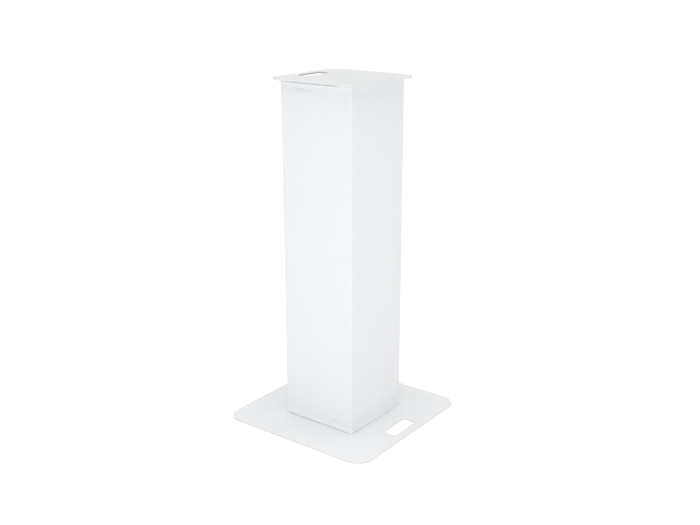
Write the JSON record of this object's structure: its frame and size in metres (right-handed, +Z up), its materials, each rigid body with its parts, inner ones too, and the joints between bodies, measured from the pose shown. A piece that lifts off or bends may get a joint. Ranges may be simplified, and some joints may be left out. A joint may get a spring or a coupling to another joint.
{
  "type": "column stand",
  "caption": "Square column stand with a wide base plate, a smaller top plate, plug-in posts held by clamp screws, and a zipped cloth cover.",
  "frame": {"origin": "on the floor, under the centre of the base plate", "axes": "+Z up; the front of the cover faces -Y; the base plate's hand slot is at +X and the top plate's hand slot at -X; the zip is at the rear, +Y"},
  "size_m": [0.5, 0.5, 1],
  "materials": {
    "white_steel": "satin white powder coat",
    "white_cloth": "matt white knitted stretch cloth",
    "zip_cloth": "white woven tape",
    "zip_plastic": "white nylon coil",
    "zip_metal": "white enamelled zinc",
    "hook_tape": "white hook tape",
    "zinc": "zinc-plated steel",
    "black_plastic": "black moulded plastic",
    "rubber": "black rubber"
  },
  "bodies": {
    "base": {"base_plate": "white_steel", "feet": "rubber", "base_spigot_front_left": "white_steel", "base_spigot_front_right": "white_steel", "base_spigot_rear_right": "white_steel", "base_spigot_rear_left": "white_steel"},
    "column": {"post_front_left": "white_steel", "post_front_right": "white_steel", "post_rear_right": "white_steel", "post_rear_left": "white_steel", "base_clamp_bushes": "white_steel", "top_clamp_bushes": "white_steel", "cover_front": "white_cloth", "cover_left": "white_cloth", "cover_right": "white_cloth", "cover_rear_left": "white_cloth", "cover_rear_right": "white_cloth", "base_hook_pads": "hook_tape", "top_hook_pads": "hook_tape", "zip_tape_left": "zip_cloth", "zip_tape_right": "zip_cloth", "zip_coil_left": "zip_plastic", "zip_coil_right": "zip_plastic", "zip_top_stops": "zip_metal", "zip_pin": "zip_plastic", "zip_box": "zip_plastic"},
    "top": {"top_plate": "white_steel", "top_spigot_front_left": "white_steel", "top_spigot_front_right": "white_steel", "top_spigot_rear_right": "white_steel", "top_spigot_rear_left": "white_steel"},
    "base_pad_front_left": {"base_clamp_pad_front_left": "zinc"},
    "base_knob_front_left": {"base_clamp_stud_front_left": "zinc", "base_clamp_grip_front_left": "black_plastic"},
    "base_pad_front_right": {"base_clamp_pad_front_right": "zinc"},
    "base_knob_front_right": {"base_clamp_stud_front_right": "zinc", "base_clamp_grip_front_right": "black_plastic"},
    "base_pad_rear_right": {"base_clamp_pad_rear_right": "zinc"},
    "base_knob_rear_right": {"base_clamp_stud_rear_right": "zinc", "base_clamp_grip_rear_right": "black_plastic"},
    "base_pad_rear_left": {"base_clamp_pad_rear_left": "zinc"},
    "base_knob_rear_left": {"base_clamp_stud_rear_left": "zinc", "base_clamp_grip_rear_left": "black_plastic"},
    "top_pad_front_left": {"top_clamp_pad_front_left": "zinc"},
    "top_knob_front_left": {"top_clamp_stud_front_left": "zinc", "top_clamp_grip_front_left": "black_plastic"},
    "top_pad_front_right": {"top_clamp_pad_front_right": "zinc"},
    "top_knob_front_right": {"top_clamp_stud_front_right": "zinc", "top_clamp_grip_front_right": "black_plastic"},
    "top_pad_rear_right": {"top_clamp_pad_rear_right": "zinc"},
    "top_knob_rear_right": {"top_clamp_stud_rear_right": "zinc", "top_clamp_grip_rear_right": "black_plastic"},
    "top_pad_rear_left": {"top_clamp_pad_rear_left": "zinc"},
    "top_knob_rear_left": {"top_clamp_stud_rear_left": "zinc", "top_clamp_grip_rear_left": "black_plastic"},
    "slider": {"zip_slider": "zip_metal"},
    "pull": {"zip_pull": "zip_metal"}
  },
  "joints": [
    {"name": "column_lift", "type": "slide", "parent": "base", "child": "column", "axis": [0, 0, 1], "range_m": [0, 0.075]},
    {"name": "top_lift", "type": "slide", "parent": "column", "child": "top", "axis": [0, 0, 1], "range_m": [0, 0.075]},
    {"name": "base_pad_travel_front_left", "type": "slide", "parent": "column", "child": "base_pad_front_left", "axis": [1, 0, 0], "range_m": [0, 0.003]},
    {"name": "base_knob_turn_front_left", "type": "hinge", "parent": "base_pad_front_left", "child": "base_knob_front_left", "pos_m": [-0.0878, -0.1028, 0.042], "axis": [1, 0, 0], "range_deg": [0, 1080]},
    {"name": "base_pad_travel_front_right", "type": "slide", "parent": "column", "child": "base_pad_front_right", "axis": [-1, 0, 0], "range_m": [0, 0.003]},
    {"name": "base_knob_turn_front_right", "type": "hinge", "parent": "base_pad_front_right", "child": "base_knob_front_right", "pos_m": [0.0878, -0.1028, 0.042], "axis": [-1, 0, 0], "range_deg": [0, 1080]},
    {"name": "base_pad_travel_rear_right", "type": "slide", "parent": "column", "child": "base_pad_rear_right", "axis": [-1, 0, 0], "range_m": [0, 0.003]},
    {"name": "base_knob_turn_rear_right", "type": "hinge", "parent": "base_pad_rear_right", "child": "base_knob_rear_right", "pos_m": [0.0878, 0.1028, 0.042], "axis": [-1, 0, 0], "range_deg": [0, 1080]},
    {"name": "base_pad_travel_rear_left", "type": "slide", "parent": "column", "child": "base_pad_rear_left", "axis": [1, 0, 0], "range_m": [0, 0.003]},
    {"name": "base_knob_turn_rear_left", "type": "hinge", "parent": "base_pad_rear_left", "child": "base_knob_rear_left", "pos_m": [-0.0878, 0.1028, 0.042], "axis": [1, 0, 0], "range_deg": [0, 1080]},
    {"name": "top_pad_travel_front_left", "type": "slide", "parent": "column", "child": "top_pad_front_left", "axis": [1, 0, 0], "range_m": [0, 0.003]},
    {"name": "top_knob_turn_front_left", "type": "hinge", "parent": "top_pad_front_left", "child": "top_knob_front_left", "pos_m": [-0.0878, -0.1028, 0.961], "axis": [1, 0, 0], "range_deg": [0, 1080]},
    {"name": "top_pad_travel_front_right", "type": "slide", "parent": "column", "child": "top_pad_front_right", "axis": [-1, 0, 0], "range_m": [0, 0.003]},
    {"name": "top_knob_turn_front_right", "type": "hinge", "parent": "top_pad_front_right", "child": "top_knob_front_right", "pos_m": [0.0878, -0.1028, 0.961], "axis": [-1, 0, 0], "range_deg": [0, 1080]},
    {"name": "top_pad_travel_rear_right", "type": "slide", "parent": "column", "child": "top_pad_rear_right", "axis": [-1, 0, 0], "range_m": [0, 0.003]},
    {"name": "top_knob_turn_rear_right", "type": "hinge", "parent": "top_pad_rear_right", "child": "top_knob_rear_right", "pos_m": [0.0878, 0.1028, 0.961], "axis": [-1, 0, 0], "range_deg": [0, 1080]},
    {"name": "top_pad_travel_rear_left", "type": "slide", "parent": "column", "child": "top_pad_rear_left", "axis": [1, 0, 0], "range_m": [0, 0.003]},
    {"name": "top_knob_turn_rear_left", "type": "hinge", "parent": "top_pad_rear_left", "child": "top_knob_rear_left", "pos_m": [-0.0878, 0.1028, 0.961], "axis": [1, 0, 0], "range_deg": [0, 1080]},
    {"name": "zip_run", "type": "slide", "parent": "column", "child": "slider", "axis": [0, 0, -1], "range_m": [0, 0.943]},
    {"name": "pull_swing", "type": "hinge", "parent": "slider", "child": "pull", "pos_m": [0, 0.1234, 0.9745], "axis": [1, 0, 0], "range_deg": [0, 170]}
  ],
  "couplings": [
    {"joint": "base_knob_turn_front_left", "follows": "base_pad_travel_front_left", "rad_per_m": 6283.1},
    {"joint": "base_knob_turn_front_right", "follows": "base_pad_travel_front_right", "rad_per_m": 6283.1},
    {"joint": "base_knob_turn_rear_right", "follows": "base_pad_travel_rear_right", "rad_per_m": 6283.1},
    {"joint": "base_knob_turn_rear_left", "follows": "base_pad_travel_rear_left", "rad_per_m": 6283.1},
    {"joint": "top_knob_turn_front_left", "follows": "top_pad_travel_front_left", "rad_per_m": 6283.1},
    {"joint": "top_knob_turn_front_right", "follows": "top_pad_travel_front_right", "rad_per_m": 6283.1},
    {"joint": "top_knob_turn_rear_right", "follows": "top_pad_travel_rear_right", "rad_per_m": 6283.1},
    {"joint": "top_knob_turn_rear_left", "follows": "top_pad_travel_rear_left", "rad_per_m": 6283.1}
  ]
}
